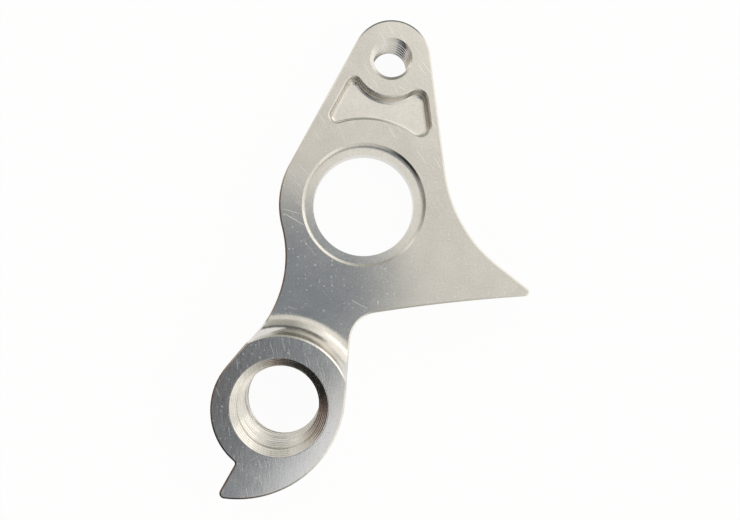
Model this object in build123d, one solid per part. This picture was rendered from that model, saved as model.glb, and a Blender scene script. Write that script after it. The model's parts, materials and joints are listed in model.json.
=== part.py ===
from build123d import *
import math
import os

# A replaceable derailleur hanger, machined from one piece of aluminium plate. It lies on its back face, with
# the outboard side up. The origin is the axle centre on the back face, +X points to the front of the bicycle
# and +Y upwards. Lengths are millimetres, angles are degrees, and drops are measured down from the axle centre.

# Heights
plate_thickness = 5.0
boss_height = 4.0

# Broken edges are shallow bevels: each has a width, and all lean from the face by the same slope
edge_break = 0.2
bevel_slope = 30.0

# Axle hole, with a shallow seat outboard and a register recess on the back
axle_bore_diameter = 12.1
axle_ring_radius = 10.07
axle_seat_diameter = 14.1
axle_seat_depth = 0.9
axle_seat_lead_in = 0.3
register_diameter = 15.0
register_depth = 2.2

# Frame bolt hole, drilled for an M5 x 0.8 thread
bolt_x = 3.4
bolt_y = 17.25
bolt_drill_diameter = 4.2
bolt_countersink_diameter = 5.0
bolt_end_radius = 4.63

# Trim pocket between bolt and axle, milled with a small round-nosed cutter. Its rims and inset are measured
# at the mouth, its corner radii on the wall.
pocket_depth = 1.6
pocket_rear_rim = 1.1
pocket_front_rim = 0.84
pocket_bolt_inset = 0.3
pocket_rear_corner_radius = 0.9
pocket_front_corner_radius = 1.3
pocket_floor_radius = 0.65
pocket_edge_break = 0.15

# Wing that points forward
front_flank_lean = 6.9
wing_reach = 20.4
wing_drop = 10.9
wing_top_slope = 38.5
wing_top_fillet = 16.7
wing_under_radius = 196.0
wing_tip_radius = 0.5

# Neck between plate and eye
neck_front_lean = 5.5
neck_front_offset = 7.44
neck_front_drop = 13.2
neck_front_fillet = 3.5
neck_rear_slope = 49.5
neck_rear_fillet = 13.9

# Derailleur eye, drilled for an M10 x 1 thread, on a round boss that stands proud of the plate. The outer rim
# is struck a little off the hole's centre.
eye_x = -9.9
eye_y = -23.25
eye_drill_diameter = 8.95
eye_relief_diameter = 9.8
eye_relief_depth = 1.6
eye_countersink_diameter = 11.2
eye_back_countersink_diameter = 10.2
eye_boss_radius = 8.22
eye_cove_radius = 2.5
rim_shift_x = -0.15
rim_shift_y = -0.3
rim_radius = 7.6

# Stop tab behind the eye, for the derailleur's adjusting screw. Its lower edge is an arc that runs into the
# neck's front edge, which passes the eye at the offset above.
stop_face_slope = 60.0
stop_face_offset = 1.13
stop_root_radius = 0.35
tab_rise = 1.4
tab_radius = 12.2
tab_tip_radius = 0.6

# How far cutters run past the surface, and past the neck's edges on their way round the boss
overrun = 1.0
overrun_angle = 5.0

eye_thickness = plate_thickness + boss_height
bevel_fall = math.tan(math.radians(bevel_slope))
axle = Vector(0, 0)
bolt = Vector(bolt_x, bolt_y)
eye = Vector(eye_x, eye_y)
rim = eye + Vector(rim_shift_x, rim_shift_y)


def heading(angle):
    return Vector(math.cos(math.radians(angle)), math.sin(math.radians(angle)))


def circle_crossing(start, direction, centre, radius):
    # the crossing that lies furthest along the direction
    gap = start - centre
    along = gap.dot(direction)
    return start + direction * (math.sqrt(along**2 - gap.dot(gap) + radius**2) - along)


def line_crossing(start, direction, other_start, other_direction):
    across = Vector(-other_direction.Y, other_direction.X)
    return start + direction * ((other_start - start).dot(across) / direction.dot(across))


def arc_about(centre, start, end):
    radius = (start - centre).length
    middle = (start - centre + end - centre).normalized() * radius
    return ThreePointArc(start, centre + middle, end)


def round_corner(sketch, point, radius):
    return fillet(sketch.vertices().sort_by_distance(point)[0], radius)


# The rear flank touches both the bolt end and the axle ring
bolt_bearing = math.degrees(math.atan2(bolt_y, bolt_x))
rear_flank_turn = math.degrees(math.acos((axle_ring_radius - bolt_end_radius) / bolt.length))
rear_flank_normal = heading(bolt_bearing + rear_flank_turn)
front_flank_normal = heading(front_flank_lean)
front_flank_down = heading(front_flank_lean - 90)
neck_front_angle = -neck_front_lean
neck_front_normal = heading(neck_front_angle)
neck_front_up = heading(90 + neck_front_angle)
front_flank_reach = bolt.dot(front_flank_normal) + bolt_end_radius
neck_rear_angle = 90 + neck_rear_slope
tab = eye + neck_front_normal * (neck_front_offset - tab_radius) + neck_front_up * tab_rise


def make_outline():
    bolt_front = bolt + front_flank_normal * bolt_end_radius
    bolt_rear = bolt + rear_flank_normal * bolt_end_radius
    ring_rear = axle + rear_flank_normal * axle_ring_radius
    rim_top = rim + heading(neck_rear_angle) * rim_radius
    neck_rear_corner = circle_crossing(rim_top, heading(180 + neck_rear_slope), axle, axle_ring_radius)
    stop_line = eye + heading(90 + stop_face_slope) * stop_face_offset
    stop_down = heading(180 + stop_face_slope)
    stop_root = circle_crossing(stop_line, stop_down, rim, rim_radius)
    tab_tip = circle_crossing(stop_line, stop_down, tab, tab_radius)
    tab_front = tab + neck_front_normal * tab_radius
    neck_front_corner = line_crossing(tab_front, neck_front_up, Vector(0, -neck_front_drop), heading(0))
    wing_tip = Vector(wing_reach, -wing_drop)
    wing_root = line_crossing(wing_tip, heading(180 - wing_top_slope), bolt_front, front_flank_down)
    sketch = make_face(
        [
            arc_about(bolt, bolt_front, bolt_rear),
            Line(bolt_rear, ring_rear),
            arc_about(axle, ring_rear, neck_rear_corner),
            Line(neck_rear_corner, rim_top),
            arc_about(rim, rim_top, stop_root),
            Line(stop_root, tab_tip),
            arc_about(tab, tab_tip, tab_front),
            Line(tab_front, neck_front_corner),
            RadiusArc(neck_front_corner, wing_tip, wing_under_radius),
            Line(wing_tip, wing_root),
            Line(wing_root, bolt_front),
        ]
    )
    sketch = round_corner(sketch, neck_rear_corner, neck_rear_fillet)
    sketch = round_corner(sketch, stop_root, stop_root_radius)
    sketch = round_corner(sketch, tab_tip, tab_tip_radius)
    sketch = round_corner(sketch, neck_front_corner, neck_front_fillet)
    sketch = round_corner(sketch, wing_tip, wing_tip_radius)
    return round_corner(sketch, wing_root, wing_top_fillet)


def boss_cutter():
    # mills the plate down around the boss and leaves a cove at the boss's foot
    start_angle = neck_front_angle - overrun_angle
    sweep = neck_rear_angle + overrun_angle - start_angle
    cove = min(eye_cove_radius, boss_height - 2 * edge_break * bevel_fall)
    reach = eye.length + bolt.length + wing_reach
    top = eye_thickness + overrun
    wall_foot = (eye_boss_radius, plate_thickness + cove)
    cove_foot = (eye_boss_radius + cove, plate_thickness)
    profile = make_face(
        [
            Line((eye_boss_radius, top), wall_foot),
            RadiusArc(wall_foot, cove_foot, -cove),
            Line(cove_foot, (reach, plate_thickness)),
            Line((reach, plate_thickness), (reach, top)),
            Line((reach, top), (eye_boss_radius, top)),
        ]
    )
    side = Plane(origin=eye, x_dir=heading(start_angle), z_dir=heading(start_angle - 90))
    return revolve(side * profile, Axis(eye, (0, 0, 1)), sweep)


def turned_cutter(centre, *steps):
    bottom = steps[0][1]
    top = steps[-1][1]
    profile = make_face(Polyline((0, bottom), *steps, (0, top), close=True))
    return Pos(centre) * revolve(Plane.XZ * profile, Axis.Z)


def axle_cutter():
    bore = axle_bore_diameter / 2
    seat = axle_seat_diameter / 2
    register = register_diameter / 2
    seat_floor = plate_thickness - axle_seat_depth
    return turned_cutter(
        axle,
        (register + edge_break, -overrun),
        (register + edge_break, 0),
        (register, edge_break * bevel_fall),
        (register, register_depth),
        (bore, register_depth),
        (bore, seat_floor),
        (seat, seat_floor),
        (seat, plate_thickness - axle_seat_lead_in * bevel_fall),
        (seat + axle_seat_lead_in, plate_thickness),
        (seat + axle_seat_lead_in, plate_thickness + overrun),
    )


def bolt_cutter():
    drill = bolt_drill_diameter / 2
    mouth = bolt_countersink_diameter / 2
    depth = (mouth - drill) * bevel_fall
    return turned_cutter(
        bolt,
        (mouth, -overrun),
        (mouth, 0),
        (drill, depth),
        (drill, plate_thickness - depth),
        (mouth, plate_thickness),
        (mouth, plate_thickness + overrun),
    )


def eye_cutter():
    drill = eye_drill_diameter / 2
    relief = eye_relief_diameter / 2
    mouth = eye_countersink_diameter / 2
    back_mouth = eye_back_countersink_diameter / 2
    relief_floor = eye_thickness - eye_relief_depth
    return turned_cutter(
        eye,
        (back_mouth, -overrun),
        (back_mouth, 0),
        (drill, (back_mouth - drill) * bevel_fall),
        (drill, relief_floor - (relief - drill) * bevel_fall),
        (relief, relief_floor),
        (relief, eye_thickness - (mouth - relief) * bevel_fall),
        (mouth, eye_thickness),
        (mouth, eye_thickness + overrun),
    )


def pocket_cutter():
    # lies between the flanks; the land below it is a ring about the axle that reaches the further flank
    rear_wall = pocket_rear_rim + pocket_edge_break
    front_wall = pocket_front_rim + pocket_edge_break
    bolt_land = bolt_end_radius - pocket_bolt_inset + pocket_edge_break
    axle_land = max(axle_ring_radius, front_flank_reach) + pocket_edge_break
    rear_top = bolt + rear_flank_normal * (bolt_end_radius - rear_wall)
    rear_bottom = axle + rear_flank_normal * (axle_ring_radius - rear_wall)
    front_top = bolt + front_flank_normal * (bolt_end_radius - front_wall)
    front_bottom = axle + front_flank_normal * (front_flank_reach - front_wall)
    sketch = make_face(Polyline(rear_top, rear_bottom, front_bottom, front_top, close=True))
    sketch -= Pos(bolt) * Circle(bolt_land)
    sketch -= Pos(axle) * Circle(axle_land)
    sketch = fillet(sketch.vertices().sort_by(Axis.X)[:2], pocket_rear_corner_radius)
    sketch = fillet(sketch.vertices().sort_by(Axis.X)[-2:], pocket_front_corner_radius)
    floor = plate_thickness - pocket_depth
    cutter = Pos(0, 0, floor) * extrude(sketch, pocket_depth + overrun)
    narrowest = bolt.length - bolt_land - axle_land
    floor_radius = min(pocket_floor_radius, narrowest / 3)
    cutter = fillet(cutter.faces().sort_by(Axis.Z)[0].edges(), floor_radius)
    bevel_depth = pocket_edge_break * bevel_fall
    bevel = extrude(sketch, 2 * bevel_depth, taper=bevel_slope - 90)
    return cutter + Pos(0, 0, plate_thickness - bevel_depth) * bevel


hanger = extrude(make_outline(), eye_thickness) - boss_cutter()
for height in (0, plate_thickness, eye_thickness):
    face = hanger.faces().filter_by(Axis.Z).filter_by_position(Axis.Z, height, height)[0]
    cove_edges = hanger.faces().filter_by(GeomType.TORUS).edges()
    rims = (face.edges() - cove_edges).sort_by(SortBy.LENGTH, reverse=True)
    hanger = chamfer(rims, edge_break, edge_break * bevel_fall, reference=face)
hanger -= axle_cutter()
hanger -= bolt_cutter()
hanger -= eye_cutter()
hanger -= pocket_cutter()
hanger.label = "hanger"

os.makedirs("parts", exist_ok=True)
export_step(hanger, "parts/hanger.step")
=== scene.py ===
import json
import math
import bpy
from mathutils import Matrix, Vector

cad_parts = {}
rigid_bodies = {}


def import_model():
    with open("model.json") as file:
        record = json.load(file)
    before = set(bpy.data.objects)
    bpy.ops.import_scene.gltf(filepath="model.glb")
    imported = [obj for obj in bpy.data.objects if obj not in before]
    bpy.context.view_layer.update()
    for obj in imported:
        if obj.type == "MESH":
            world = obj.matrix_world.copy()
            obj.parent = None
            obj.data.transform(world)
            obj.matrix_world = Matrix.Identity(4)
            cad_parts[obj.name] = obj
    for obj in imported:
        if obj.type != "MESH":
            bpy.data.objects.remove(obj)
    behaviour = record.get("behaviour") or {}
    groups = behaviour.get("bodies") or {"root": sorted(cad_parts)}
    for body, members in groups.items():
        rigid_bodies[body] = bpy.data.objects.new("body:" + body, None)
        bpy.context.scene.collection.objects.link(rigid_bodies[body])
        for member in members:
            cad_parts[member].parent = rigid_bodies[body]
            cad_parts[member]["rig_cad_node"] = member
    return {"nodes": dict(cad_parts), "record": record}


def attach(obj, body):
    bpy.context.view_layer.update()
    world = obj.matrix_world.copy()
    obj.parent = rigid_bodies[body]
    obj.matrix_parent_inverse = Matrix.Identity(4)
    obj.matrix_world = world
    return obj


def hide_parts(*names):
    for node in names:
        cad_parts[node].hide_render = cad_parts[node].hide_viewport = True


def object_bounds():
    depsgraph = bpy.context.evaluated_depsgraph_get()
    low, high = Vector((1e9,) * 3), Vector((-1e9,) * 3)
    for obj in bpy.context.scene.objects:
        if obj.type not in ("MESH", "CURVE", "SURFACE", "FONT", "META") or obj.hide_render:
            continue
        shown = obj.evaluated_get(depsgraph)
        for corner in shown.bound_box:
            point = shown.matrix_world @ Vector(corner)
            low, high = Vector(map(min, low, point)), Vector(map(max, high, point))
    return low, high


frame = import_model()
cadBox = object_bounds()
mounts = {mount["name"]: mount for mount in frame["record"]["mounts"]}
eyeFace = mounts["eye_face"]["pos_m"][2]
mm = 0.001
print("frame loaded:", ", ".join(sorted(frame["nodes"])))


def makeActive(item):
    # every operator below acts on this object alone
    if bpy.context.mode != "OBJECT":
        bpy.ops.object.mode_set(mode="OBJECT")
    bpy.ops.object.select_all(action="DESELECT")
    item.select_set(True)
    bpy.context.view_layer.objects.active = item


def applyModifier(item, kind, **settings):
    makeActive(item)
    modifier = item.modifiers.new(kind.lower(), kind)
    for name, value in settings.items():
        setattr(modifier, name, value)
    bpy.ops.object.modifier_apply(modifier=modifier.name)


def linear(hexColour):
    # sRGB hex to the linear colour that a socket takes
    shares = [int(hexColour[i : i + 2], 16) / 255 for i in (1, 3, 5)]
    return [s / 12.92 if s <= 0.04045 else ((s + 0.055) / 1.055) ** 2.4 for s in shares] + [1.0]


def addNode(tree, kind, inputs=None, **settings):
    # a node given as an input links its first output
    node = tree.nodes.new("ShaderNode" + kind)
    for name, value in settings.items():
        setattr(node, name, value)
    for socket, value in (inputs or {}).items():
        if isinstance(value, bpy.types.Node):
            value = value.outputs[0]
        if isinstance(value, bpy.types.NodeSocket):
            tree.links.new(value, node.inputs[socket])
        else:
            node.inputs[socket].default_value = value
    return node


def newMaterial(name):
    material = bpy.data.materials.new(name)
    material.use_nodes = True
    material.node_tree.nodes.clear()
    return material


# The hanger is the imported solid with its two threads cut

threadForm = {
    "mouth": 0.75,  # groove width at the drilled wall, in pitches
    "root": 0.125,  # groove width at its bottom, in pitches
    "flank": 30,  # degrees
    "inset": 0.1 * mm,  # how far the tap reaches inside the drilled wall
    "overrun": 1.2,  # turns past each end of the hole, in pitches
    "steps": 96,  # faces in a turn
}
threads = [
    {"mount": "derailleur_eye", "pitch": 1.0 * mm},
    {"mount": "frame_bolt_hole", "pitch": 0.8 * mm},
]
smoothBelow = 18  # degrees, so that every bevel keeps its edges


def makeTap(thread, bottom, top):
    # one groove section, swept round the hole's axis
    mount = mounts[thread["mount"]]
    pitch = thread["pitch"]
    wall = mount["dims"]["r_mm"] * mm
    slope = math.tan(math.radians(threadForm["flank"]))
    mouth = threadForm["mouth"] * pitch + 2 * threadForm["inset"] * slope
    root = threadForm["root"] * pitch
    inner = wall - threadForm["inset"]
    outer = inner + (mouth - root) / 2 / slope
    overrun = threadForm["overrun"] * pitch
    bpy.ops.object.select_all(action="DESELECT")
    bpy.ops.mesh.primitive_plane_add(size=1)
    tap = bpy.context.object
    bpy.ops.object.mode_set(mode="EDIT")
    bpy.ops.transform.rotate(value=math.pi / 2, orient_axis="X", center_override=(0, 0, 0))
    bpy.ops.transform.resize(value=(outer - inner, 1, mouth))
    bpy.ops.transform.translate(value=((inner + outer) / 2, 0, bottom - overrun))
    bpy.ops.object.mode_set(mode="OBJECT")
    middle = bottom - overrun
    for vert in tap.data.vertices:
        if vert.co.x > (inner + outer) / 2:
            vert.co.z = middle + (vert.co.z - middle) * root / mouth
    bpy.ops.object.mode_set(mode="EDIT")
    bpy.ops.mesh.select_all(action="SELECT")
    bpy.ops.mesh.delete(type="ONLY_FACE")
    bpy.ops.object.mode_set(mode="OBJECT")
    turns = math.ceil((top - bottom + 2 * overrun) / pitch)
    applyModifier(
        tap,
        "SCREW",
        axis="Z",
        screw_offset=pitch,
        iterations=turns,
        steps=threadForm["steps"],
        render_steps=threadForm["steps"],
        use_smooth_shade=False,
    )
    bpy.ops.object.mode_set(mode="EDIT")
    bpy.ops.mesh.select_all(action="SELECT")
    bpy.ops.mesh.remove_doubles(threshold=1e-7)
    bpy.ops.mesh.select_all(action="SELECT")
    bpy.ops.mesh.fill_holes(sides=4)
    bpy.ops.mesh.select_all(action="SELECT")
    bpy.ops.mesh.normals_make_consistent(inside=False)
    bpy.ops.object.mode_set(mode="OBJECT")
    tap.location = (mount["pos_m"][0], mount["pos_m"][1], 0)
    bpy.ops.object.transform_apply(location=True, rotation=True, scale=True)
    return tap


def makeHanger():
    makeActive(frame["nodes"]["hanger"])
    bpy.ops.object.duplicate()
    piece = bpy.context.object
    piece.name = "tappedHanger"
    del piece["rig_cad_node"]
    bpy.ops.object.mode_set(mode="EDIT")
    bpy.ops.mesh.select_all(action="SELECT")
    bpy.ops.mesh.remove_doubles(threshold=1e-6)
    bpy.ops.object.mode_set(mode="OBJECT")
    bpy.ops.mesh.customdata_custom_splitnormals_clear()
    bottom = cadBox[0].z
    top = cadBox[1].z
    for thread in threads:
        tap = makeTap(thread, bottom, top)
        applyModifier(piece, "BOOLEAN", operation="DIFFERENCE", solver="EXACT", object=tap)
        bpy.data.objects.remove(tap)
    makeActive(piece)
    bpy.ops.object.shade_smooth_by_angle(angle=math.radians(smoothBelow))
    applyModifier(piece, "WEIGHTED_NORMAL", mode="FACE_AREA", weight=90, keep_sharp=True)
    return piece


hanger = makeHanger()
print("hanger tapped:", len(hanger.data.polygons), "faces")


# Bare aluminium, milled and then tumbled: a soft grey mirror, dulled by scuffs and specks
# that catch the light

noiseSpan = (0.3, 0.7)  # where most values of a noise texture lie
# lengths are mm, and heights are above the back face
aluminium = {
    "base": "#e4e2dd",
    "fresh": "#f0eee9",  # floors of the pocket and the seat, which nothing rubs
    "scuff": "#fcfbf9",
    "roughness": 0.2,
    "scuffRoughness": 0.42,
    "flatSlopes": (0.8, 0.95),  # upright shares of the normal, between which a face goes over to flat
    "eyeDepth": 0.5,  # what lies no deeper below the eye's face counts as that face
    "upperFade": 4.0,  # to either side of the axle, where the upper scratches set in
    "freshHeights": (3.2, 4.6),
    "freshScuffs": 0.25,  # share of the scuffs that shows on those floors
    "pocketMiddle": (2.2, 11.3, 0),
    "pocketReach": 7.0,  # from its middle
    "pocketEnd": 16.0,  # along Y
    "pocketHeights": (3.45, 4.97),
    "pocketFacing": 0.1,  # its walls face its middle by at least this
    "pocketRoughness": 0.32,  # they keep the dull finish of the cutter
    "mottleSize": 3.5,
    "mottleShare": 0.05,
    "grainSize": 0.25,
    "grainShare": 0.05,
    "brushSize": (0.14, 1.8),  # streaks across and along, on the eye's face
    "brushTurn": -8,  # degrees
    "brushShare": 0.48,
    "speckGap": 0.5,
    "speckSize": 0.12,
    "speckShare": (0.15, 0.5),  # of the cells, from the axle upwards and where most of them are
    "speckMost": -8.0,  # along Y
    "speckRagged": 0.12,
    "speckStrength": 0.65,
    "bend": 1.2,  # how far scratches wander from straight
    "bendSize": 6.0,
    "scratchDepth": 0.004,
    "ringPitch": 0.3,  # turned rings in the eye's mouth, coarser than a real feed so that they show
    "ringDepth": 0.004,
    "ringReach": 5.7,  # from the eye's axis
}
# turn is degrees from +X; width is drawn no finer than a scratch that still shows
scratchFamilies = [
    {"zone": "upper", "turn": -58, "length": 2.0, "gap": 0.6, "width": 0.12, "share": 0.36, "strength": 1.2},
    {"zone": "plate", "turn": -38, "length": 3.4, "gap": 1.9, "width": 0.1, "share": 0.14, "strength": 0.4},
    {"zone": "plate", "turn": 81, "length": 1.2, "gap": 0.9, "width": 0.1, "share": 0.1, "strength": 0.3},
    {"zone": "eye", "turn": -80, "length": 1.5, "gap": 0.35, "width": 0.1, "share": 0.35, "strength": 0.75},
    {"zone": "eye", "turn": 35, "length": 1.6, "gap": 1.5, "width": 0.1, "share": 0.12, "strength": 0.35},
]
# single scratches, from start to end in mm
placedScratches = [
    {"start": (-9.77, -0.32), "end": (-7.32, -1.04), "width": 0.13, "strength": 0.6},
    {"start": (-9.68, -0.77), "end": (-6.78, -2.49), "width": 0.14, "strength": 0.8},
    {"start": (-8.77, 3.58), "end": (-7.13, 1.95), "width": 0.12, "strength": 0.6},
    {"start": (-8.32, 2.31), "end": (-7.23, 0.68), "width": 0.12, "strength": 0.5},
    {"start": (-8.77, 2.49), "end": (-7.32, -0.04), "width": 0.12, "strength": 0.5},
    {"start": (-7.87, 3.04), "end": (-7.05, 1.67), "width": 0.12, "strength": 0.5},
    {"start": (-8.22, 0.68), "end": (-7.23, -0.22), "width": 0.12, "strength": 0.5},
    {"start": (-7.41, -3.84), "end": (-5.51, -6.2), "width": 0.12, "strength": 0.4},
    {"start": (-1.64, -11.27), "end": (0.54, -12.36), "width": 0.12, "strength": 0.6},
    {"start": (-9.34, -11.91), "end": (-7.89, -12.36), "width": 0.14, "strength": 0.6},
    {"start": (-2.69, 8.92), "end": (-2.06, 7.37), "width": 0.12, "strength": 0.6},
    {"start": (4.1, 14.1), "end": (5.2, 13.5), "width": 0.14, "strength": 0.7},
    {"start": (-10.9, -15.65), "end": (-10.29, -17.46), "width": 0.13, "strength": 0.7},
    {"start": (-9.43, -15.65), "end": (-9.08, -17.02), "width": 0.13, "strength": 0.7},
]


def strokeMask(tree, offset, length, width):
    # 1 along the middle of a stroke on the offset's X, fading to its sides and ends
    share = addNode(tree, "VectorMath", {0: offset, 1: (2 / length, 2 / width, 0)}, operation="MULTIPLY")
    parts = addNode(tree, "SeparateXYZ", {0: share})
    ends = addNode(tree, "Math", {0: parts.outputs["X"], 1: 4.0}, operation="POWER")
    sides = addNode(tree, "Math", {0: parts.outputs["Y"], 1: 2.0}, operation="POWER")
    both = addNode(tree, "Math", {0: ends, 1: sides}, operation="ADD")
    return addNode(tree, "Math", {0: 1.0, 1: both}, operation="SUBTRACT", use_clamp=True)


def familyMask(tree, place, family):
    # one stroke near the middle of each long cell, left out of most cells
    cell = (family["length"], family["gap"], 1)
    turned = addNode(
        tree,
        "Mapping",
        {"Vector": place, "Rotation": (0, 0, math.radians(family["turn"])), "Scale": cell},
        vector_type="TEXTURE",
    )
    cells = addNode(tree, "TexVoronoi", {"Vector": turned, "Scale": 1.0}, voronoi_dimensions="2D")
    offset = addNode(tree, "VectorMath", {0: turned, 1: cells.outputs["Position"]}, operation="SUBTRACT")
    offset = addNode(tree, "VectorMath", {0: offset, 1: cell}, operation="MULTIPLY")
    stroke = strokeMask(tree, offset, family["length"], family["width"])
    chance = addNode(tree, "SeparateColor", {0: cells.outputs["Color"]})
    kept = addNode(tree, "Math", {0: chance.outputs[0], 1: family["share"]}, operation="LESS_THAN")
    stroke = addNode(tree, "Math", {0: stroke, 1: kept}, operation="MULTIPLY")
    return addNode(tree, "Math", {0: stroke, 1: chance.outputs[1]}, operation="MULTIPLY")


def placedMask(tree, place, scratch):
    start = Vector(scratch["start"])
    along = Vector(scratch["end"]) - start
    middle = start + along / 2
    turned = addNode(
        tree,
        "Mapping",
        {"Vector": place, "Location": (*middle, 0), "Rotation": (0, 0, math.atan2(along.y, along.x))},
        vector_type="TEXTURE",
    )
    return strokeMask(tree, turned, along.length, scratch["width"])


def wandered(tree, place, size, reach):
    # the place, pushed about by a soft noise
    noise = addNode(tree, "TexNoise", {"Vector": place, "Scale": 1 / size, "Detail": 0.0})
    push = addNode(tree, "VectorMath", {0: noise.outputs["Color"], 1: [0.5] * 3}, operation="SUBTRACT")
    push = addNode(tree, "VectorMath", {0: push, 1: [reach] * 3}, operation="MULTIPLY")
    return addNode(tree, "VectorMath", {0: place, 1: push}, operation="ADD")


def clouding(tree, place, size, detail, share):
    # a factor that strays from 1 by the share
    noise = addNode(tree, "TexNoise", {"Vector": place, "Scale": 1 / size, "Detail": detail})
    low, high = noiseSpan
    return addNode(tree, "MapRange", {0: noise, 1: low, 2: high, 3: 1 - share, 4: 1 + share})


def speckMask(tree, place, axes):
    # ragged specks, more of them below the axle
    gap = aluminium["speckGap"]
    ragged = wandered(tree, place, aluminium["speckSize"] / 2, aluminium["speckRagged"])
    cells = addNode(tree, "TexVoronoi", {"Vector": ragged, "Scale": 1 / gap}, voronoi_dimensions="2D")
    chance = addNode(tree, "SeparateColor", {0: cells.outputs["Color"]})
    few, many = aluminium["speckShare"]
    most = aluminium["speckMost"]
    share = addNode(tree, "MapRange", {0: axes.outputs["Y"], 1: 0.0, 2: most, 3: few, 4: many})
    kept = addNode(tree, "Math", {0: chance.outputs[0], 1: share}, operation="LESS_THAN")
    radius = aluminium["speckSize"] / gap
    reach = addNode(tree, "Math", {0: chance.outputs[1], 1: radius}, operation="MULTIPLY")
    mask = addNode(tree, "Math", {0: cells.outputs["Distance"], 1: reach}, operation="LESS_THAN")
    for factor in (kept, chance.outputs[2], aluminium["speckStrength"]):
        mask = addNode(tree, "Math", {0: mask, 1: factor}, operation="MULTIPLY")
    return mask


def scuffMask(tree, place, axes, zones, upward):
    # specks, scratches of each family, and then the single ones
    scuffs = speckMask(tree, place, axes)
    bent = wandered(tree, place, aluminium["bendSize"], aluminium["bend"])
    strokes = [(familyMask(tree, bent, f), zones[f["zone"]], f["strength"]) for f in scratchFamilies]
    strokes += [(placedMask(tree, place, s), upward, s["strength"]) for s in placedScratches]
    for mask, zone, strength in strokes:
        for factor in (zone, strength):
            mask = addNode(tree, "Math", {0: mask, 1: factor}, operation="MULTIPLY")
        scuffs = addNode(tree, "Math", {0: scuffs, 1: mask}, operation="MAXIMUM")
    return scuffs


def pocketWalls(tree, place, axes, normal):
    # 1 on the walls of the pocket, which face its middle
    toMiddle = addNode(tree, "VectorMath", {0: aluminium["pocketMiddle"], 1: place}, operation="SUBTRACT")
    toMiddle = addNode(tree, "VectorMath", {0: toMiddle, 1: (1, 1, 0)}, operation="MULTIPLY")
    inward = addNode(tree, "VectorMath", {0: toMiddle, 1: normal}, operation="DOT_PRODUCT")
    away = addNode(tree, "VectorMath", {0: toMiddle}, operation="LENGTH")
    low, high = aluminium["pocketHeights"]
    walls = 1.0
    for value, kind, limit in (
        (inward.outputs["Value"], "GREATER_THAN", aluminium["pocketFacing"]),
        (away.outputs["Value"], "LESS_THAN", aluminium["pocketReach"]),
        (axes.outputs["Y"], "LESS_THAN", aluminium["pocketEnd"]),
        (axes.outputs["Z"], "GREATER_THAN", low),
        (axes.outputs["Z"], "LESS_THAN", high),
    ):
        within = addNode(tree, "Math", {0: value, 1: limit}, operation=kind)
        walls = addNode(tree, "Math", {0: walls, 1: within}, operation="MULTIPLY")
    return walls


def turnedRings(tree, place, axes):
    # height of the rings on the walls of the eye's mouth
    eyeAxis = Vector(mounts["derailleur_eye"]["pos_m"]) / mm
    spoke = addNode(tree, "VectorMath", {0: place, 1: eyeAxis}, operation="SUBTRACT")
    spoke = addNode(tree, "VectorMath", {0: spoke, 1: (1, 1, 0)}, operation="MULTIPLY")
    spoke = addNode(tree, "VectorMath", {0: spoke}, operation="LENGTH").outputs["Value"]
    turns = addNode(tree, "Math", {0: spoke, 1: axes.outputs["Z"]}, operation="ADD")
    turns = addNode(tree, "Math", {0: turns, 1: math.tau / aluminium["ringPitch"]}, operation="MULTIPLY")
    rings = addNode(tree, "Math", {0: turns}, operation="SINE")
    within = addNode(tree, "Math", {0: spoke, 1: aluminium["ringReach"]}, operation="LESS_THAN")
    for factor in (within, aluminium["ringDepth"]):
        rings = addNode(tree, "Math", {0: rings, 1: factor}, operation="MULTIPLY")
    return rings


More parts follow.
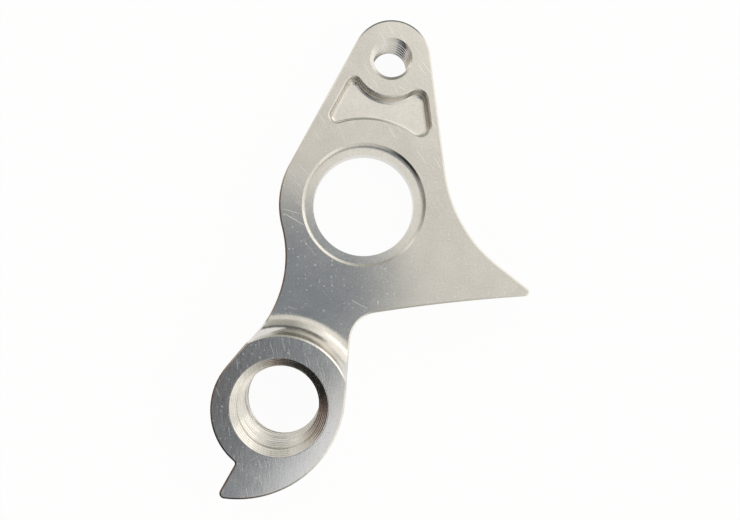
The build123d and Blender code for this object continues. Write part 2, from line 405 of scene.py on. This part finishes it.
def makeAluminium():
    material = newMaterial("tumbledAluminium")
    tree = material.node_tree
    coords = addNode(tree, "TexCoord")
    place = addNode(tree, "VectorMath", {0: coords.outputs["Object"], 1: [1 / mm] * 3}, operation="MULTIPLY")
    axes = addNode(tree, "SeparateXYZ", {0: place})
    normal = addNode(tree, "NewGeometry").outputs["True Normal"]
    facing = addNode(tree, "SeparateXYZ", {0: normal})
    level = addNode(tree, "Math", {0: facing.outputs["Z"]}, operation="ABSOLUTE")
    low, high = aluminium["flatSlopes"]
    flat = addNode(tree, "MapRange", {0: level, 1: low, 2: high})
    upward = addNode(tree, "MapRange", {0: facing.outputs["Z"], 1: low, 2: high})
    eyeBottom = eyeFace / mm - aluminium["eyeDepth"]
    eyeZone = addNode(tree, "Math", {0: axes.outputs["Z"], 1: eyeBottom}, operation="GREATER_THAN")
    plateZone = addNode(tree, "Math", {0: 1.0, 1: eyeZone}, operation="SUBTRACT")
    fade = aluminium["upperFade"]
    upperZone = addNode(tree, "MapRange", {0: axes.outputs["Y"], 1: -fade, 2: fade})
    zones = {"eye": eyeZone, "plate": plateZone, "upper": upperZone}

    # floors that nothing rubs stay brighter and hardly scratched
    low, high = aluminium["freshHeights"]
    above = addNode(tree, "Math", {0: axes.outputs["Z"], 1: low}, operation="GREATER_THAN")
    below = addNode(tree, "Math", {0: axes.outputs["Z"], 1: high}, operation="LESS_THAN")
    fresh = addNode(tree, "Math", {0: above, 1: below}, operation="MULTIPLY")
    fresh = addNode(tree, "Math", {0: fresh, 1: upward}, operation="MULTIPLY")
    rubbed = addNode(tree, "MapRange", {0: fresh, 3: 1.0, 4: aluminium["freshScuffs"]})
    scuffs = scuffMask(tree, place, axes, zones, upward)
    for factor in (flat, rubbed):
        scuffs = addNode(tree, "Math", {0: scuffs, 1: factor}, operation="MULTIPLY")

    # broad clouding, fine grain, and the brushing of the eye's face
    cloud = clouding(tree, place, aluminium["mottleSize"], 3.0, aluminium["mottleShare"])
    grain = clouding(tree, place, aluminium["grainSize"], 2.0, aluminium["grainShare"])
    shade = addNode(tree, "Math", {0: cloud, 1: grain}, operation="MULTIPLY")
    turn = math.radians(aluminium["brushTurn"])
    brushed = addNode(
        tree,
        "Mapping",
        {"Vector": place, "Rotation": (0, 0, turn), "Scale": (*aluminium["brushSize"], 1)},
        vector_type="TEXTURE",
    )
    brush = addNode(tree, "TexNoise", {"Vector": brushed, "Scale": 1.0, "Detail": 2.0})
    brush = addNode(tree, "Math", {0: brush, 1: 0.5}, operation="SUBTRACT")
    for factor in (aluminium["brushShare"], eyeZone):
        brush = addNode(tree, "Math", {0: brush, 1: factor}, operation="MULTIPLY")
    shade = addNode(tree, "Math", {0: shade, 1: brush}, operation="ADD")

    base, bright, scuff = [linear(aluminium[name]) for name in ("base", "fresh", "scuff")]
    colour = addNode(tree, "MixRGB", {"Fac": fresh, "Color1": base, "Color2": bright})
    colour = addNode(tree, "VectorMath", {0: colour, "Scale": shade}, operation="SCALE")
    colour = addNode(tree, "MixRGB", {"Fac": scuffs, "Color1": colour, "Color2": scuff})
    walls = pocketWalls(tree, place, axes, normal)
    smooth = addNode(
        tree, "MapRange", {0: walls, 3: aluminium["roughness"], 4: aluminium["pocketRoughness"]}
    )
    roughness = addNode(tree, "MapRange", {0: scuffs, 3: smooth, 4: aluminium["scuffRoughness"]})
    roughness = addNode(tree, "Math", {0: roughness, 1: shade}, operation="MULTIPLY")

    # scratches are grooves
    grooves = addNode(tree, "Math", {0: scuffs, 1: -aluminium["scratchDepth"]}, operation="MULTIPLY")
    relief = addNode(tree, "Math", {0: turnedRings(tree, place, axes), 1: grooves}, operation="ADD")
    bump = addNode(tree, "Bump", {"Height": relief, "Distance": mm})
    shader = addNode(
        tree,
        "BsdfPrincipled",
        {"Base Color": colour, "Roughness": roughness, "Normal": bump, "Metallic": 1.0},
    )
    addNode(tree, "OutputMaterial", {"Surface": shader})
    return material


hanger.data.materials.clear()
hanger.data.materials.append(makeAluminium())
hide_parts("hanger")
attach(hanger, "root")
print("finish applied")


# White floor, light tent, softboxes, and a card and a band that the metal mirrors

stage = {
    "floorSize": 3000,  # mm
    "floorDrop": 0.02,
    "white": "#ffffff",
    "floorGlow": 0.95,  # share of the floor's white that needs no light
    "mirroredGlow": 0.7,  # the same in reflections
    "tent": "#fffbf3",
    "zenith": 0.74,  # brightness overhead
    "lean": (0.2, 0.11),  # how much brighter the tent is to the right and to the top
    "horizon": 1.0,
    "horizonHeights": (0.25, 0.6),  # sines between which the horizon's white goes over to the tent
}
# brighter patches of the tent, each fading out between two angles from its middle
glows = [
    {"toward": (0.2, 0.4, 0.89), "fade": (4, 12), "strength": 0.2, "tint": "#fffbf3"},
    {"toward": (-0.04, -0.28, 1.0), "fade": (3, 11), "strength": 0.42, "tint": "#f7f9ff"},
]
# a card over the lens, mirrored by the flat faces; corners are mm from the point below the lens
greyCard = {
    "colour": "#848b93",
    "shade": "#6d6e72",  # round its dark spot
    "spot": (-31, -24),
    "spotFade": (8, 27),
    "height": 95,
    "corners": [
        (-20, 24.5),
        (12, 9),
        (13.5, -5),
        (8, -14),
        (-0.4, -21.5),
        (-7, -34),
        (-12, -42.5),
        (-15.5, -46),
        (-19, -53),
        (-22, -66),
        (-50, -66),
        (-50, 30),
    ],
}
# a band of plain cards round the object: at each compass angle from +X, its tone and how high it reaches
surround = {
    "tones": {
        "dark": "#181614",
        "brown": "#5a443c",
        "slate": "#4a4a4a",
        "grey": "#a0a098",
        "tan": "#aaa090",
        "white": "#fcf8f0",
    },
    "glow": 1.14,  # strength of its light
    "sides": 96,
    "radius": 150,
    "height": 280,
    "fade": 15,  # half the height over which its top thins out
    "footTop": 37,  # below this it has the tones of its foot
    "footFade": 10,
    "sectors": [
        (-180, "brown", 130),
        (-168, "brown", 130),
        (-155, "dark", 220),
        (-127, "dark", 235),
        (-121, "dark", 142),
        (-106, "dark", 120),
        (-95, "brown", 105),
        (-75, "grey", 90),
        (-50, "white", 90),
        (58, "white", 110),
        (86, "grey", 180),
        (108, "grey", 172),
        (130, "white", 110),
        (148, "tan", 115),
        (168, "brown", 130),
        (180, "brown", 130),
    ],
    "feet": [
        (-180, "tan"),
        (-168, "tan"),
        (-152, "dark"),
        (-100, "dark"),
        (-75, "tan"),
        (-50, "white"),
        (46, "white"),
        (58, "slate"),
        (112, "slate"),
        (150, "tan"),
        (180, "tan"),
    ],
}
softboxes = [
    {"place": (160, 105, 180), "size": (150, 80), "radiance": 0.75, "colour": "#fffaf0"},
    {"place": (130, -145, 150), "size": (90, 80), "radiance": 0.3, "colour": "#fffaf0"},
]
cameraRig = {
    "foot": (-2.69, -9.21),  # mm, the point below the lens
    "height": 89.2,
    "turn": -0.4,  # degrees
    "lens": 34.6,
    "shift": (0.0383, 0.0307),
    "nearest": 5,
}
lensFoot = Vector((cameraRig["foot"][0] * mm, cameraRig["foot"][1] * mm, cadBox[0].z))


def makeFloor():
    bpy.ops.object.select_all(action="DESELECT")
    bpy.ops.mesh.primitive_plane_add(size=stage["floorSize"] * mm)
    floor = bpy.context.object
    floor.name = "floor"
    floor.location.z = cadBox[0].z - stage["floorDrop"] * mm
    material = newMaterial("whiteFloor")
    tree = material.node_tree
    # white to the camera, in reflections and through glass, with the object's shadow on it
    path = addNode(tree, "LightPath")
    mirrored = addNode(
        tree,
        "Math",
        {0: path.outputs["Is Glossy Ray"], 1: path.outputs["Is Transmission Ray"]},
        operation="MAXIMUM",
    )
    mirrored = addNode(tree, "Math", {0: mirrored, 1: stage["mirroredGlow"]}, operation="MULTIPLY")
    share = addNode(
        tree,
        "Math",
        {0: path.outputs["Is Camera Ray"], 1: stage["floorGlow"], 2: mirrored},
        operation="MULTIPLY_ADD",
    )
    matt = addNode(tree, "BsdfDiffuse", {"Color": linear(stage["white"])})
    glow = addNode(tree, "Emission", {"Color": linear(stage["white"]), "Strength": 1.0})
    mix = addNode(tree, "MixShader", {0: share, 1: matt, 2: glow})
    addNode(tree, "OutputMaterial", {"Surface": mix})
    floor.data.materials.append(material)


def onlyReflected(item):
    # seen in the metal alone: it hides nothing and throws no shadow
    item.visible_camera = False
    item.visible_diffuse = False
    item.visible_shadow = False


def overLens(x, y, height):
    return lensFoot + Vector((x, y, height)) * mm


def makeGreyCard():
    height = greyCard["height"]
    corners = [overLens(x, y, height) for x, y in greyCard["corners"]]
    mesh = bpy.data.meshes.new("greyCard")
    mesh.from_pydata(corners, [], [range(len(corners))])
    card = bpy.data.objects.new("greyCard", mesh)
    bpy.context.collection.objects.link(card)
    material = newMaterial("greyCard")
    tree = material.node_tree
    coords = addNode(tree, "TexCoord")
    spot = overLens(*greyCard["spot"], height)
    away = addNode(tree, "VectorMath", {0: coords.outputs["Object"], 1: spot}, operation="DISTANCE")
    near, far = greyCard["spotFade"]
    share = addNode(
        tree,
        "MapRange",
        {0: away.outputs["Value"], 1: near * mm, 2: far * mm},
        interpolation_type="SMOOTHSTEP",
    )
    colour = addNode(
        tree,
        "MixRGB",
        {"Fac": share, "Color1": linear(greyCard["shade"]), "Color2": linear(greyCard["colour"])},
    )
    paint = addNode(tree, "Emission", {"Color": colour})
    addNode(tree, "OutputMaterial", {"Surface": paint})
    mesh.materials.append(material)
    onlyReflected(card)


def compassRamp(tree, turn, sectors):
    ramp = addNode(tree, "ValToRGB", {0: turn})
    stops = ramp.color_ramp.elements
    for sector in sectors[1:-1]:
        stops.new((sector[0] + 180) / 360)
    for stop, sector in zip(stops, sectors):
        stop.color = linear(surround["tones"][sector[1]])
    return ramp


def makeSurround():
    bpy.ops.object.select_all(action="DESELECT")
    bpy.ops.mesh.primitive_cylinder_add(
        vertices=surround["sides"],
        radius=surround["radius"] * mm,
        depth=surround["height"] * mm,
        end_fill_type="NOTHING",
        location=overLens(0, 0, surround["height"] / 2),
    )
    band = bpy.context.object
    band.name = "surround"
    material = newMaterial("surroundBand")
    tree = material.node_tree
    coords = addNode(tree, "TexCoord")
    axes = addNode(tree, "SeparateXYZ", {0: coords.outputs["Object"]})
    angle = addNode(tree, "Math", {0: axes.outputs["Y"], 1: axes.outputs["X"]}, operation="ARCTAN2")
    turn = addNode(tree, "MapRange", {0: angle, 1: -math.pi, 2: math.pi})
    # the upper ramp's alpha is the share of the band's height that the sector reaches
    upper = compassRamp(tree, turn, surround["sectors"])
    for stop, sector in zip(upper.color_ramp.elements, surround["sectors"]):
        stop.color[3] = sector[2] / surround["height"]
    foot = compassRamp(tree, turn, surround["feet"])
    half = surround["height"] / 2 * mm
    level = addNode(tree, "MapRange", {0: axes.outputs["Z"], 1: -half, 2: half})
    above = addNode(tree, "Math", {0: level, 1: upper.outputs["Alpha"]}, operation="SUBTRACT")
    fade = surround["fade"] / surround["height"]
    thin = addNode(tree, "MapRange", {0: above, 1: -fade, 2: fade}, interpolation_type="SMOOTHSTEP")
    low, high = [(surround["footTop"] + s * surround["footFade"]) / surround["height"] for s in (-1, 1)]
    raised = addNode(tree, "MapRange", {0: level, 1: low, 2: high})
    colour = addNode(tree, "MixRGB", {"Fac": raised, "Color1": foot, "Color2": upper})
    paint = addNode(tree, "Emission", {"Color": colour, "Strength": surround["glow"]})
    clear = addNode(tree, "BsdfTransparent")
    mix = addNode(tree, "MixShader", {0: thin, 1: paint, 2: clear})
    addNode(tree, "OutputMaterial", {"Surface": mix})
    band.data.materials.append(material)
    onlyReflected(band)


def makeWorld():
    world = bpy.data.worlds.new("lightTent")
    bpy.context.scene.world = world
    world.use_nodes = True
    tree = world.node_tree
    tree.nodes.clear()
    coords = addNode(tree, "TexCoord")
    axes = addNode(tree, "SeparateXYZ", {0: coords.outputs["Generated"]})
    right = addNode(
        tree,
        "Math",
        {0: axes.outputs["X"], 1: stage["lean"][0], 2: stage["zenith"]},
        operation="MULTIPLY_ADD",
    )
    tent = addNode(
        tree, "Math", {0: axes.outputs["Y"], 1: stage["lean"][1], 2: right}, operation="MULTIPLY_ADD"
    )
    direction = coords.outputs["Generated"]
    colour = linear(stage["tent"])
    for glow in glows:
        full, none = [math.cos(math.radians(angle)) for angle in glow["fade"]]
        middle = Vector(glow["toward"]).normalized()
        near = addNode(tree, "VectorMath", {0: direction, 1: middle}, operation="DOT_PRODUCT")
        share = addNode(
            tree,
            "MapRange",
            {0: near.outputs["Value"], 1: none, 2: full},
            interpolation_type="SMOOTHSTEP",
        )
        tent = addNode(tree, "Math", {0: share, 1: glow["strength"], 2: tent}, operation="MULTIPLY_ADD")
        colour = addNode(tree, "MixRGB", {"Fac": share, "Color1": colour, "Color2": linear(glow["tint"])})
    low, high = stage["horizonHeights"]
    raised = addNode(
        tree, "MapRange", {0: axes.outputs["Z"], 1: low, 2: high}, interpolation_type="SMOOTHSTEP"
    )
    strength = addNode(tree, "MapRange", {0: raised, 3: stage["horizon"], 4: tent})
    colour = addNode(tree, "MixRGB", {"Fac": raised, "Color1": linear(stage["white"]), "Color2": colour})
    light = addNode(tree, "Background", {"Color": colour, "Strength": strength})
    addNode(tree, "OutputWorld", {"Surface": light})


def makeSoftbox(softbox):
    place = overLens(*softbox["place"])
    aim = (lensFoot - place).to_track_quat("-Z", "Y").to_euler()
    bpy.ops.object.light_add(type="AREA", location=place, rotation=aim)
    box = bpy.context.object
    box.name = "softbox"
    box.visible_camera = False
    lamp = box.data
    lamp.shape = "RECTANGLE"
    lamp.size = softbox["size"][0] * mm
    lamp.size_y = softbox["size"][1] * mm
    lamp.energy = softbox["radiance"] * math.pi * lamp.size * lamp.size_y
    lamp.color = linear(softbox["colour"])[:3]


def makeCamera():
    place = overLens(0, 0, cameraRig["height"])
    bpy.ops.object.camera_add(location=place, rotation=(0, 0, math.radians(cameraRig["turn"])))
    camera = bpy.context.object
    camera.data.lens = cameraRig["lens"]
    camera.data.shift_x = cameraRig["shift"][0]
    camera.data.shift_y = cameraRig["shift"][1]
    camera.data.clip_start = cameraRig["nearest"] * mm
    bpy.context.scene.camera = camera


makeFloor()
makeGreyCard()
makeSurround()
makeWorld()
for softbox in softboxes:
    makeSoftbox(softbox)
makeCamera()
bpy.context.scene.view_settings.view_transform = "Standard"
print("stage set")
